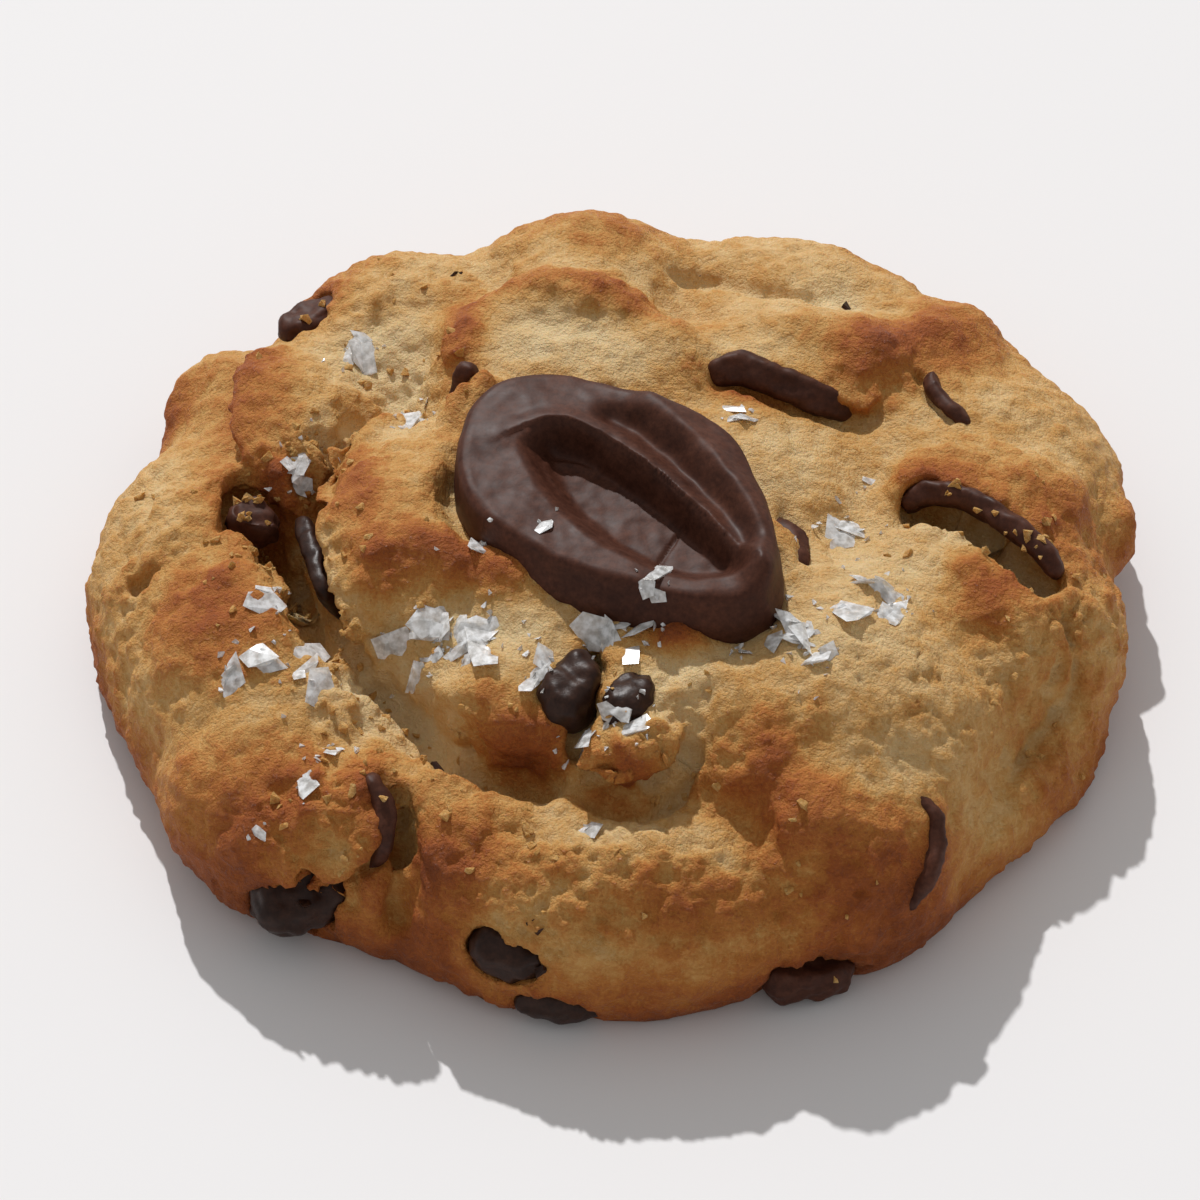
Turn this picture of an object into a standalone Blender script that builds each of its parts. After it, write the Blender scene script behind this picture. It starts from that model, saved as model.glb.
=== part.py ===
"""A thick, lumpy chocolate chip cookie: one baked dough body with pieces of dark chocolate bedded in it.

Metres, +Z up. The cookie lies on the plane z = 0 with the middle of its footprint at the origin, and its
front, where the dough cracked into a gully, faces -Y.
"""

import math

import bmesh
import bpy
from mathutils import Matrix, Vector

# ---------------------------------------------------------------- driving dimensions, in millimetres
MM = 0.001
GAP = 0.3  # clearance between the dough and a piece of chocolate
DOUGH_GRAIN = 1.15  # how finely the lobes of dough are fused
DOUGH_FACES = 5300
FUSE_PASSES = 4
FUSE_STRENGTH = 0.5
LOBE_DETAIL = 4

FLOOR_DEPTH = 30.0  # of the block that trims the underside flat
FLOOR_SPREAD = 120.0

DISC_LENGTH = 34.6  # the large oval disc of chocolate on top
DISC_WIDTH = 22.8
DISC_THICKNESS = 6.4
DISC_HOLLOW = 2.2
DISC_CENTRE = (0.4, -5.6, 24.8)  # the middle of its upper rim
DISC_YAW = -48.0
DISC_RISE = 3.0  # degrees by which its front end stands up
DISC_STEPS = 36
# Each ring of the disc, top to bottom: a share of its half length and half width, a height over its upper
# rim (from its base in the last two) and a push to its front end.
DISC_TOP_RINGS = (
    (0.50, 0.30, -DISC_HOLLOW, 0.6),
    (0.68, 0.50, -0.2, 0.6),
    (0.88, 0.84, 0.0, 0.0),
    (0.98, 0.97, -0.8, 0.0),
    (1.00, 1.00, -2.4, 0.0),
)
DISC_BASE_RINGS = (
    (0.95, 0.95, 1.4, 0.0),
    (0.74, 0.70, 0.0, 0.0),
)
# A worn chip: rings of (share of its half size, share of its thickness), its sides, and its uneven outline.
CHIP_RINGS = ((0.74, 0.5), (0.96, 0.3), (1.0, -0.08), (0.9, -0.38), (0.62, -0.5))
CHIP_SIDES = 12
CHIP_UNEVENNESS = 0.05
CHIP_CORNERS = 3
CHIP_CORNER_START = 0.7

# The dough is a heap of lobes. Each row is a name, the centre, the three radii and the turn about Z.
LOBES = (
    ("middle", (0.0, 0.8, 4.0), (43.8, 40.0, 12.5), 0),
    ("under_disc", (1.0, -5.0, 9.5), (13.5, 14.0, 11.6), 0),
    ("saddle", (11.0, 6.5, 8.5), (14.0, 12.5, 11.4), 0),
    ("back_hump", (-2.0, 30.5, 9.0), (12.0, 10.5, 11.0), 0),
    ("back_left", (-17.0, 26.0, 8.0), (13.0, 12.0, 9.5), 15),
    ("back_right", (15.0, 26.0, 7.5), (16.5, 14.5, 10.5), -15),
    ("back_right_hump", (27.5, 22.5, 8.5), (9.5, 8.5, 9.0), -35),
    ("left_back", (-25.5, 14.5, 9.0), (9.0, 11.0, 9.0), 20),
    ("left_back_lip", (-33.5, 22.0, 6.5), (6.5, 6.0, 6.5), 40),
    ("left_flank", (-33.5, 3.0, 5.0), (11.0, 17.0, 10.5), -4),
    ("mushroom", (-13.5, -1.0, 12.0), (11.5, 13.5, 10.5), -15),
    ("mushroom_skirt", (-10.0, -10.0, 11.0), (9.5, 11.0, 8.0), 0),
    ("crumb", (-28.5, 6.5, 12.0), (3.6, 3.4, 4.0), 0),
    ("lower_left", (-28.5, -9.5, 7.0), (11.5, 15.0, 9.5), 22),
    ("left_low", (-26.5, -19.0, 6.0), (11.5, 9.5, 9.0), 35),
    ("corner", (-25.0, -24.0, 5.5), (8.5, 7.5, 8.5), 20),
    ("corner_bump", (-21.6, -25.5, 10.0), (5.2, 4.5, 5.6), 10),
    ("front_left_roll", (-11.0, -26.0, 6.0), (12.0, 11.0, 9.0), -10),
    ("front_roll", (1.5, -29.4, 5.0), (19.0, 11.8, 10.0), 4),
    ("centre_lump", (-7.0, -17.0, 11.0), (9.5, 8.0, 9.0), 0),
    ("broken_lump", (1.8, -22.6, 13.8), (5.2, 5.4, 6.0), 15),
    ("right_roll", (17.0, -15.0, 9.0), (16.0, 14.0, 12.0), -35),
    ("front_right", (18.0, -27.5, 6.0), (11.0, 9.5, 11.0), 15),
    ("right_shoulder", (29.0, -3.5, 7.0), (14.8, 13.5, 11.0), 0),
    ("right_back", (28.5, 12.0, 6.0), (16.0, 17.0, 11.5), 0),
    ("lip", (17.5, 19.5, 11.5), (12.0, 6.5, 9.3), -8),
    ("mouth_lip", (32.3, 6.4, 12.4), (9.5, 5.5, 6.3), -24),
    ("crest_left", (-3.5, 23.5, 15.0), (8.5, 5.0, 7.4), -8),
    ("crest_right", (5.5, 18.5, 14.0), (6.5, 4.0, 7.4), -48),
    ("crest_edge", (-12.0, 18.5, 13.0), (3.6, 7.5, 7.4), -10),
    ("foot_right", (33.0, -11.5, 1.5), (8.5, 9.0, 5.5), -25),
    ("foot_front", (21.5, -25.5, 1.5), (11.5, 7.5, 5.0), 38),
)

# Smaller pieces of chocolate are worn discs. Each row is a name, the centre, the length, width and
# thickness, then the turns about X, Y and Z.
CHIPS = (
    ("chocolate_under_disc", (12.0, -5.6, 19.8), (8.0, 6.0, 3.2), (0, 12, -60)),
    ("chocolate_wedge", (-11.8, 11.2, 20.0), (6.0, 4.4, 3.6), (10, -20, 60)),
    ("chocolate_back_right", (14.4, 18.2, 16.6), (15.5, 10.5, 3.4), (6, 6, -8)),
    ("chocolate_right_sliver", (28.6, 15.6, 15.2), (6.0, 3.0, 2.8), (0, 20, -62)),
    ("chocolate_mouth", (31.0, 2.6, 15.6), (16.5, 8.6, 3.0), (8, 14, -24)),
    ("chocolate_right_edge", (43.0, 7.5, 8.0), (7.0, 4.6, 4.0), (0, 30, 80)),
    ("chocolate_front_right", (26.3, -29.0, 7.4), (9.0, 8.0, 2.6), (0, 84, -36)),
    ("chocolate_front_base", (15.6, -36.3, 2.3), (8.6, 4.6, 3.6), (0, 4, 8)),
    ("chocolate_front_low", (-8.0, -36.9, 6.4), (6.8, 4.6, 4.4), (30, 0, -12)),
    ("chocolate_front_slit", (-4.2, -38.3, 2.2), (7.4, 3.8, 2.6), (0, 6, -4)),
    ("chocolate_corner", (-24.4, -28.6, 4.8), (11.0, 7.0, 5.4), (28, -14, 24)),
    ("chocolate_left_sliver", (-18.6, -25.4, 11.6), (9.0, 7.0, 2.4), (0, 80, 84)),
    ("chocolate_centre_left", (-3.2, -19.6, 17.8), (6.4, 4.2, 4.2), (0, -6, 70)),
    ("chocolate_centre_right", (1.5, -21.0, 17.9), (6.2, 4.2, 4.4), (0, 8, 62)),
    ("chocolate_crevice", (-30.2, 3.4, 13.0), (5.6, 4.2, 4.0), (0, 10, -20)),
    ("chocolate_crevice_curl", (-25.0, -1.6, 13.8), (8.0, 4.2, 3.0), (40, 0, 92)),
    ("chocolate_back_left", (-25.9, 27.6, 12.8), (7.0, 4.2, 3.2), (-20, 0, 36)),
)

# These two lie partly under the large disc, which pressed into them.
UNDER_DISC = ("chocolate_under_disc", "chocolate_wedge")

DOUGH_COLOUR = (0.50, 0.28, 0.11)
CHOCOLATE_COLOUR = (0.055, 0.028, 0.018)


# ---------------------------------------------------------------- helpers
def clear_scene():
    """Remove whatever the opened file holds."""
    for thing in list(bpy.data.objects):
        bpy.data.objects.remove(thing, do_unlink=True)


def new_collection(name, hidden=False):
    """A collection for the pieces or for the cutters."""
    collection = bpy.data.collections.new(name)
    bpy.context.scene.collection.children.link(collection)
    collection.hide_render = hidden
    return collection


def finish(name, colour, roughness):
    """A Principled material."""
    material = bpy.data.materials.new(name)
    material.use_nodes = True
    shader = material.node_tree.nodes["Principled BSDF"]
    shader.inputs["Base Color"].default_value = (*colour, 1.0)
    shader.inputs["Roughness"].default_value = roughness
    shader.inputs["Metallic"].default_value = 0.0
    material.diffuse_color = (*colour, 1.0)
    return material


def turned(angles):
    """A rotation from degrees about X, then Y, then Z."""
    about_x, about_y, about_z = (math.radians(angle) for angle in angles)
    tilt = Matrix.Rotation(about_y, 4, "Y") @ Matrix.Rotation(about_x, 4, "X")
    return Matrix.Rotation(about_z, 4, "Z") @ tilt


def placed(centre, angles):
    """The matrix that carries a shape in millimetres to its place in metres."""
    return Matrix.Scale(MM, 4) @ Matrix.Translation(centre) @ turned(angles)


def object_from(bm, name, collection, material=None):
    """Turn a finished bmesh into an object and free it."""
    bmesh.ops.recalc_face_normals(bm, faces=bm.faces)
    mesh = bpy.data.meshes.new(name)
    bm.to_mesh(mesh)
    bm.free()
    mesh.shade_smooth()
    thing = bpy.data.objects.new(name, mesh)
    collection.objects.link(thing)
    if material:
        mesh.materials.append(material)
    return thing


def hide_cutter(cutter):
    """A cutter is drawn as a wire and is never a piece of the cookie."""
    cutter.hide_render = True
    cutter.display_type = "WIRE"


def boolean(target, cutter, name):
    """Cut one mesh from another."""
    cut = target.modifiers.new(name, "BOOLEAN")
    cut.operation = "DIFFERENCE"
    cut.solver = "EXACT"
    cut.object = cutter


# ---------------------------------------------------------------- the dough
def heap_of_lobes(collection, material):
    """All the lobes in one mesh, then fused, softened and thinned by modifiers."""
    bm = bmesh.new()
    for _name, centre, radii, turn in LOBES:
        place = placed(centre, (0, 0, turn)) @ Matrix.Diagonal((*radii, 1.0))
        bmesh.ops.create_icosphere(bm, subdivisions=LOBE_DETAIL, radius=1.0, matrix=place)
    dough = object_from(bm, "dough", collection, material)
    fuse = dough.modifiers.new("fuse_lobes", "REMESH")
    fuse.mode = "VOXEL"
    fuse.voxel_size = DOUGH_GRAIN * MM
    soften = dough.modifiers.new("soften_creases", "SMOOTH")
    soften.factor = FUSE_STRENGTH
    soften.iterations = FUSE_PASSES
    return dough


def trim_underside(dough, cutters):
    """The baking tray left the underside flat."""
    bm = bmesh.new()
    size = Matrix.Diagonal((FLOOR_SPREAD * MM, FLOOR_SPREAD * MM, FLOOR_DEPTH * MM, 1.0))
    below = Matrix.Translation((0.0, 0.0, -FLOOR_DEPTH * MM / 2))
    bmesh.ops.create_cube(bm, size=1.0, matrix=below @ size)
    tray = object_from(bm, "cut_underside", cutters)
    hide_cutter(tray)
    boolean(dough, tray, "flat_underside")


def thin_faces(dough):
    """Keep the number of faces near DOUGH_FACES."""
    graph = bpy.context.evaluated_depsgraph_get()
    evaluated = dough.evaluated_get(graph)
    mesh = bpy.data.meshes.new_from_object(evaluated)
    triangles = sum(len(face.vertices) - 2 for face in mesh.polygons)
    dough.modifiers.clear()
    dough.data = mesh
    thin = dough.modifiers.new("fewer_faces", "DECIMATE")
    thin.ratio = DOUGH_FACES / triangles
    mesh.shade_smooth()


# ---------------------------------------------------------------- the chocolate
def worn_disc(size, grow=0.0):
    """A round disc with softened edges in millimetres, stretched to its length, width and thickness."""
    length, width, thickness = (extent + 2 * grow for extent in size)
    bm = bmesh.new()
    loops = []
    for reach, height in CHIP_RINGS:
        loop = []
        for step in range(CHIP_SIDES):
            angle = 2 * math.pi * step / CHIP_SIDES
            flat = reach * (1.0 + CHIP_UNEVENNESS * math.cos(CHIP_CORNERS * angle + CHIP_CORNER_START))
            x = flat * math.cos(angle) * length / 2
            y = flat * math.sin(angle) * width / 2
            loop.append(bm.verts.new((x, y, height * thickness)))
        loops.append(loop)
    for upper, lower in zip(loops, loops[1:]):
        for step in range(CHIP_SIDES):
            after = (step + 1) % CHIP_SIDES
            bm.faces.new((upper[step], upper[after], lower[after], lower[step]))
    bm.faces.new(loops[0])
    bm.faces.new(loops[-1])
    bmesh.ops.triangulate(bm, faces=bm.faces[:])
    return bm


def chip(name, centre, size, angles, collection, cutters, material, dough):
    """One piece of chocolate, and the pocket that it leaves in the dough."""
    place = placed(centre, angles)
    bm = worn_disc(size)
    bmesh.ops.transform(bm, matrix=place, verts=bm.verts)
    piece = object_from(bm, name, collection, material)
    bm = worn_disc(size, GAP)
    bmesh.ops.transform(bm, matrix=place, verts=bm.verts)
    pocket = object_from(bm, "cut_" + name, cutters)
    hide_cutter(pocket)
    boolean(dough, pocket, "pocket_" + name)
    return piece


def oval_disc(grow=0.0):
    """The large disc: a thick rounded edge, a broad lip and an eye-shaped hollow, in millimetres."""
    bm = bmesh.new()
    half = (DISC_LENGTH / 2 + grow, DISC_WIDTH / 2 + grow)
    lip = grow
    base = -DISC_THICKNESS - grow
    rings = [(long, wide, lip + height, push) for long, wide, height, push in DISC_TOP_RINGS]
    rings += [(long, wide, base + height, push) for long, wide, height, push in DISC_BASE_RINGS]
    loops = []
    for long_share, wide_share, height, push in rings:
        loop = []
        for step in range(DISC_STEPS):
            angle = 2 * math.pi * step / DISC_STEPS
            x = long_share * half[0] * math.cos(angle) + push
            y = wide_share * half[1] * math.sin(angle)
            loop.append(bm.verts.new((x, y, height)))
        loops.append(loop)
    for upper, lower in zip(loops, loops[1:]):
        for step in range(DISC_STEPS):
            after = (step + 1) % DISC_STEPS
            bm.faces.new((upper[step], upper[after], lower[after], lower[step]))
    bm.faces.new(loops[0])
    bm.faces.new(loops[-1])
    bmesh.ops.triangulate(bm, faces=bm.faces[:])
    return bm


def centre_footprint(collections, pieces):
    """Move everything together, so that the middle of the footprint is at the origin."""
    graph = bpy.context.evaluated_depsgraph_get()
    points = []
    for piece in pieces.objects:
        points += [point.co.copy() for point in piece.evaluated_get(graph).data.vertices]
    middle = [(min(p[axis] for p in points) + max(p[axis] for p in points)) / 2 for axis in (0, 1)]
    for collection in collections:
        for thing in collection.objects:
            thing.location -= Vector((middle[0], middle[1], 0.0))


def build():
    clear_scene()
    cookie = new_collection("chocolate_chip_cookie")
    cutters = new_collection("cutters", hidden=True)
    baked = finish("baked_dough", DOUGH_COLOUR, 0.65)
    chocolate = finish("dark_chocolate", CHOCOLATE_COLOUR, 0.45)
    dough = heap_of_lobes(cookie, baked)
    thin_faces(dough)
    trim_underside(dough, cutters)
    for name, centre, size, angles in CHIPS:
        chip(name, centre, size, angles, cookie, cutters, chocolate, dough)
    place = placed(DISC_CENTRE, (0, -DISC_RISE, DISC_YAW))
    bm = oval_disc()
    bmesh.ops.transform(bm, matrix=place, verts=bm.verts)
    object_from(bm, "chocolate_disc", cookie, chocolate)
    bm = oval_disc(GAP)
    bmesh.ops.transform(bm, matrix=place, verts=bm.verts)
    seat = object_from(bm, "cut_chocolate_disc", cutters)
    hide_cutter(seat)
    boolean(dough, seat, "seat_of_disc")
    for name in UNDER_DISC:
        boolean(bpy.data.objects[name], seat, "pressed_by_disc")
    centre_footprint((cookie, cutters), cookie)


build()
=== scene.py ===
# %% [markdown]
# # A thick chocolate chip cookie
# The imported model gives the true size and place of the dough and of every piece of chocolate. This
# script dresses it: it sculpts the lumpy dough, browns it, and adds the fine chocolate, salt and crumbs.

# %% Load the frame
import math

import bmesh
import bpy
import numpy as np
from mathutils import Matrix, Vector, noise
from mathutils.bvhtree import BVHTree


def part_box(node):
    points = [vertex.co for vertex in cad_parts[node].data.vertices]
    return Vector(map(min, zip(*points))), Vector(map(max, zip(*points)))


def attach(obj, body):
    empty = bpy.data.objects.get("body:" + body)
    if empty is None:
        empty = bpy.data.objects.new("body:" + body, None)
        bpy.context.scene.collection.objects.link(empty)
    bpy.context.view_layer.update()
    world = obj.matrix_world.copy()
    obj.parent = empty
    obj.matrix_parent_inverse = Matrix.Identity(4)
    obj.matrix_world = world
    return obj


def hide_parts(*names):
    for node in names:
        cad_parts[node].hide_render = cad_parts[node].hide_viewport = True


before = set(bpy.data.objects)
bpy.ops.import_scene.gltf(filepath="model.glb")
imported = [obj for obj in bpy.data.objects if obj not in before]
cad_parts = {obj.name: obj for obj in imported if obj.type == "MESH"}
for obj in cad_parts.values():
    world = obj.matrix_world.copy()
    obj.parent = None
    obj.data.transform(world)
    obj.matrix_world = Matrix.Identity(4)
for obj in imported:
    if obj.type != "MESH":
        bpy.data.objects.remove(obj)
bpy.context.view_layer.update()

MM = 0.001
BODY = "root"

# %% [markdown]
# Lengths below are in millimetres. A few helpers carry meshes between Blender and numpy, where a
# sculpting step is one line of arithmetic on all the points at once.


# %% Mesh helpers
def new_object(name, mesh):
    thing = bpy.data.objects.new(name, mesh)
    bpy.context.scene.collection.objects.link(thing)
    return thing


def mesh_from(bm, name):
    """Turn a bmesh into a mesh, and free it."""
    mesh = bpy.data.meshes.new(name)
    bm.to_mesh(mesh)
    bm.free()
    return mesh


def points_of(mesh):
    """All vertices, in millimetres."""
    flat = np.empty(len(mesh.vertices) * 3)
    mesh.vertices.foreach_get("co", flat)
    return flat.reshape(-1, 3) / MM


def set_points(mesh, points):
    mesh.vertices.foreach_set("co", (points * MM).ravel())
    mesh.update()


def normals_of(mesh):
    flat = np.empty(len(mesh.vertices) * 3)
    mesh.vertex_normals.foreach_get("vector", flat)
    return flat.reshape(-1, 3)


def edges_of(mesh):
    flat = np.empty(len(mesh.edges) * 2, np.int64)
    mesh.edges.foreach_get("vertices", flat)
    return flat.reshape(-1, 2)


def relaxed(values, edges, passes, strength=0.5):
    """Repeatedly move each value towards the mean of its neighbours."""
    count = np.bincount(edges.ravel(), minlength=len(values))[:, None]
    values = values.reshape(len(values), -1).copy()
    for _ in range(passes):
        total = np.zeros_like(values)
        for axis in range(values.shape[1]):
            total[:, axis] = np.bincount(edges[:, 0], values[edges[:, 1], axis], len(values))
            total[:, axis] += np.bincount(edges[:, 1], values[edges[:, 0], axis], len(values))
        values += strength * (total / np.maximum(count, 1) - values)
    return values


def with_modifier(thing, kind, **settings):
    """Add one modifier, apply it and leave a plain mesh."""
    modifier = thing.modifiers.new(kind.lower(), kind)
    for key, value in settings.items():
        setattr(modifier, key, value)
    graph = bpy.context.evaluated_depsgraph_get()
    mesh = bpy.data.meshes.new_from_object(thing.evaluated_get(graph))
    thing.modifiers.clear()
    old = thing.data
    thing.data = mesh
    bpy.data.meshes.remove(old)
    return thing


print("millimetres in a metre:", round(1 / MM))

# %% [markdown]
# Materials are small node trees. Colours are written as sRGB hex, as a colour picker shows them, and
# turned linear by one function; one more function adds a node with its settings and links.


# %% Material helpers
def linear(text):
    """An sRGB hex colour as linear RGBA."""
    values = [int(text[place:place + 2], 16) / 255 for place in (0, 2, 4)]
    return tuple(v / 12.92 if v <= 0.04045 else ((v + 0.055) / 1.055) ** 2.4 for v in values) + (1.0,)


def add(tree, kind, links=None, inputs=None, **settings):
    """Add a node; links maps its input sockets to other nodes' outputs, inputs to plain values."""
    made = tree.nodes.new(kind)
    for key, value in settings.items():
        setattr(made, key, value)
    for key, value in (inputs or {}).items():
        made.inputs[key].default_value = value
    for key, output in (links or {}).items():
        tree.links.new(output, made.inputs[key])
    return made


def new_material(name):
    material = bpy.data.materials.new(name)
    material.use_nodes = True
    tree = material.node_tree
    return material, tree, tree.nodes["Principled BSDF"]


def ramp(tree, factor, stops):
    """A colour ramp from (position, hex) stops."""
    made = add(tree, "ShaderNodeValToRGB", {"Fac": factor})
    elements = made.color_ramp.elements
    while len(elements) < len(stops):
        elements.new(0.5)
    for element, (place, colour) in zip(elements, stops):
        element.position = place
        element.color = linear(colour)
    return made


print("middle grey, linear:", round(linear("808080")[0], 3))

# %% [markdown]
# The camera looks down on the cookie from the front, as one looks at a plate.

# %% Camera
VIEW_ANGLE = 48.0
VIEW_DISTANCE = 450.0
VIEW_WIDTH = 100.2
SENSOR = 36.0
AIM = (-1.3, -4.1, 12.0)

lens = bpy.data.cameras.new("camera")
lens.sensor_width = SENSOR
lens.lens = SENSOR * VIEW_DISTANCE / VIEW_WIDTH
camera = bpy.data.objects.new("camera", lens)
bpy.context.scene.collection.objects.link(camera)
down = math.radians(VIEW_ANGLE)
look = Vector((0.0, math.cos(down), -math.sin(down)))
camera.location = (Vector(AIM) - look * VIEW_DISTANCE) * MM
camera.rotation_euler = look.to_track_quat("-Z", "Y").to_euler()
bpy.context.scene.camera = camera
print("lens in mm:", round(lens.lens, 1))

# %% [markdown]
# ## Dough
# The frame's dough has the true lobes, but its faces are millimetres wide. Pieces of chocolate that
# show only as a thin edge have their pockets filled again, and four soft fills make a bed under the disc
# and fuller slopes round it. All of it is fused by a fine voxel remesh and relaxed until no facet is
# left, most of all over the filled pockets.

# %% Fine copy of the dough
COARSE_GRAIN = 0.5
FINE_GRAIN = 0.34
SMOOTH_PASSES = 20
PLUG_SMOOTH_PASSES = 70
RESTING_HEIGHT = 0.3

PLUG_GROWTH = 0.55
PLUG_REACH = 0.8
PLUGGED = ("chocolate_back_right", "chocolate_right_sliver", "chocolate_mouth", "chocolate_wedge",
           "chocolate_under_disc", "chocolate_front_right", "chocolate_left_sliver",
           "chocolate_crevice_curl", "chocolate_right_edge")
FILLS = (
    # centre, radii, turn
    ((0.2, -6.2, 15.6), (25.0, 17.0, 4.7), -48),
    ((-3.0, 17.0, 14.2), (13.5, 9.5, 6.4), -10),
    ((12.0, 12.5, 13.0), (9.0, 6.0, 5.4), -10),
    ((-6.5, -9.0, 14.8), (12.0, 8.0, 6.4), -38),
)


def welded_copy(node):
    """A copy of a node's mesh, with its loose triangles merged."""
    bm = bmesh.new()
    bm.from_mesh(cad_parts[node].data)
    bmesh.ops.remove_doubles(bm, verts=bm.verts, dist=0.001 * MM)
    bm.normal_update()
    return bm


def add_to(bm, other):
    """Append one bmesh to another, and free it."""
    carrier = mesh_from(other, "carrier")
    bm.from_mesh(carrier)
    bpy.data.meshes.remove(carrier)


bm = welded_copy("dough")
for node in PLUGGED:
    plug = welded_copy(node)
    for vert in plug.verts:
        vert.co += vert.normal * PLUG_GROWTH * MM
    add_to(bm, plug)
for centre, radii, turn in FILLS:
    fill = bmesh.new()
    place = Matrix.Translation(Vector(centre) * MM) @ Matrix.Rotation(math.radians(turn), 4, "Z")
    place = place @ Matrix.Diagonal(Vector(radii) * MM).to_4x4()
    bmesh.ops.create_icosphere(fill, subdivisions=4, radius=1.0, matrix=place)
    add_to(bm, fill)
dough = new_object("dough_crust", mesh_from(bm, "dough_crust"))
with_modifier(dough, "REMESH", mode="VOXEL", voxel_size=COARSE_GRAIN * MM)
edges = edges_of(dough.data)
surface = points_of(dough.data)
resting = surface[:, 2] < RESTING_HEIGHT
smooth = relaxed(surface, edges, SMOOTH_PASSES)
smoother = relaxed(smooth, edges, PLUG_SMOOTH_PASSES)
melted = np.zeros(len(surface))
for node in PLUGGED:
    low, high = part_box(node)
    middle = (Vector(low) + Vector(high)) / 2 / MM
    reach = (Vector(high) - Vector(low)).length / 2 / MM
    distance = np.linalg.norm(surface - np.array(middle), axis=1)
    melted = np.maximum(melted, np.exp(-(distance / (PLUG_REACH * reach)) ** 4))
smooth += melted[:, None] * (smoother - smooth)
smooth[resting, 2] = surface[resting, 2]
set_points(dough.data, smooth)
print("coarse dough:", len(surface), "points")

# %% [markdown]
# ### Brushes
# A baker's hands and the oven leave ridges, gullies, torn lips and lumps. Each brush moves the surface
# along its own outward direction, by an amount that falls off with the distance from a path or a spot.


# %% Brushes
END_FADE = 0.16
NOISE_GAIN = 1.6


def smoothstep(value):
    value = np.clip(value, 0, 1)
    return value * value * (3 - 2 * value)


def curve_through(path, steps=6):
    """A smooth Catmull-Rom curve through the path's points."""
    path = np.array(path, float)
    ends = np.vstack([2 * path[0] - path[1], path, 2 * path[-1] - path[-2]])
    found = []
    for index in range(len(path) - 1):
        a, b, c, d = ends[index:index + 4]
        for step in range(steps):
            t = step / steps
            found.append(
                0.5 * (2 * b + (c - a) * t + (2 * a - 5 * b + 4 * c - d) * t**2
                       + (3 * b - a - 3 * c + d) * t**3)
            )
    found.append(path[-1])
    return np.array(found)


def path_distance(points, path):
    """Distance in plan to a path, the side (positive on its left), and a fade towards its ends."""
    curve = curve_through(path)
    best = np.full(len(points), 1e9)
    side = np.ones(len(points))
    place = np.zeros(len(points))
    for index, (start, end) in enumerate(zip(curve, curve[1:])):
        along = (end - start)[:2]
        length = max(np.hypot(*along), 1e-6)
        offset = points[:, :2] - start[:2]
        share = np.clip((offset @ along) / length**2, 0, 1)
        gap = offset - share[:, None] * along
        reach = np.hypot(gap[:, 0], gap[:, 1])
        if len(start) > 2:
            height = points[:, 2] - (start[2] + share * (end[2] - start[2]))
            reach = np.hypot(reach, height)
        nearer = reach < best
        best = np.where(nearer, reach, best)
        cross = along[0] * offset[:, 1] - along[1] * offset[:, 0]
        side = np.where(nearer, np.where(cross >= 0, 1.0, -1.0), side)
        place = np.where(nearer, (index + share) / (len(curve) - 1), place)
    fade = smoothstep(place / END_FADE) * smoothstep((1 - place) / END_FADE)
    return best, side, fade


def bell(distance, width):
    return np.exp(-((distance / width) ** 2))


def spot(points, centre, radii, turn=0.0):
    """A soft weight of 1 at the centre, falling to nothing past the radii."""
    angle = math.radians(turn)
    flat = points[:, :2] - np.array(centre[:2])
    x = (flat[:, 0] * math.cos(angle) + flat[:, 1] * math.sin(angle)) / radii[0]
    y = (-flat[:, 0] * math.sin(angle) + flat[:, 1] * math.cos(angle)) / radii[1]
    reach = x**2 + y**2
    if len(centre) > 2:
        reach = reach + ((points[:, 2] - centre[2]) / max(radii)) ** 2
    return np.exp(-reach)


def noise_at(points, scale, seed):
    """Smooth noise from about -1 to 1, with lumps of the given size in millimetres."""
    shift = Vector((seed * 17.3, seed * 5.9, seed * 11.1))
    return np.array([noise.noise(Vector(p) / scale + shift) for p in points]) * NOISE_GAIN


print("a bell one width away:", round(float(bell(1.0, 1.0)), 2))

# %% [markdown]
# ### Big forms
# The dough was scooped, torn and folded, so the lobes end in lips with gullies below them. A lip is high
# on the left of its path, low on the right, and leans out over the low side.

# %% Places of the big forms
LIPS = (
    # path, rise, drop, width of the rise, width of the drop, lean
    (((-16.0, 14.2), (-20.0, 12.9), (-22.4, 10.2), (-23.6, 7.0), (-24.0, 3.0), (-23.8, -2.0),
      (-23.3, -6.3), (-22.4, -9.5), (-20.8, -12.2), (-18.6, -14.4)), 1.2, 2.6, 4.0, 2.0, 0.8),
    (((-16.5, -18.6), (-14.0, -21.3), (-11.0, -23.6), (-7.0, -24.7), (-3.6, -25.2)),
     0.7, 1.2, 3.5, 1.8, 0.4),
    (((-3.2, -24.2), (-1.8, -26.2), (0.8, -27.5), (3.2, -27.1), (4.6, -25.2), (5.0, -22.8)),
     1.2, 2.2, 2.6, 1.6, 0.9),
    (((-24.5, -13.0), (-26.6, -9.5), (-28.0, -5.5), (-29.2, -2.0), (-31.0, 0.3), (-34.0, 0.8)),
     1.0, 2.0, 4.0, 2.0, 0.4),
    (((-28.4, -30.8), (-24.8, -30.6), (-21.0, -30.5), (-18.8, -29.2), (-18.4, -27.0), (-19.4, -24.6)),
     0.9, 1.6, 3.0, 1.6, 0.6),
    (((-28.7, 24.8), (-31.4, 19.8), (-32.2, 15.7), (-32.0, 11.5), (-31.0, 8.5)), 0.9, 1.3, 3.0, 2.4, 0.3),
    (((8.2, 16.6), (12.3, 15.6), (16.6, 14.4), (20.4, 13.4), (23.0, 14.6)), 0.8, 1.2, 3.0, 1.8, 0.5),
)
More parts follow.
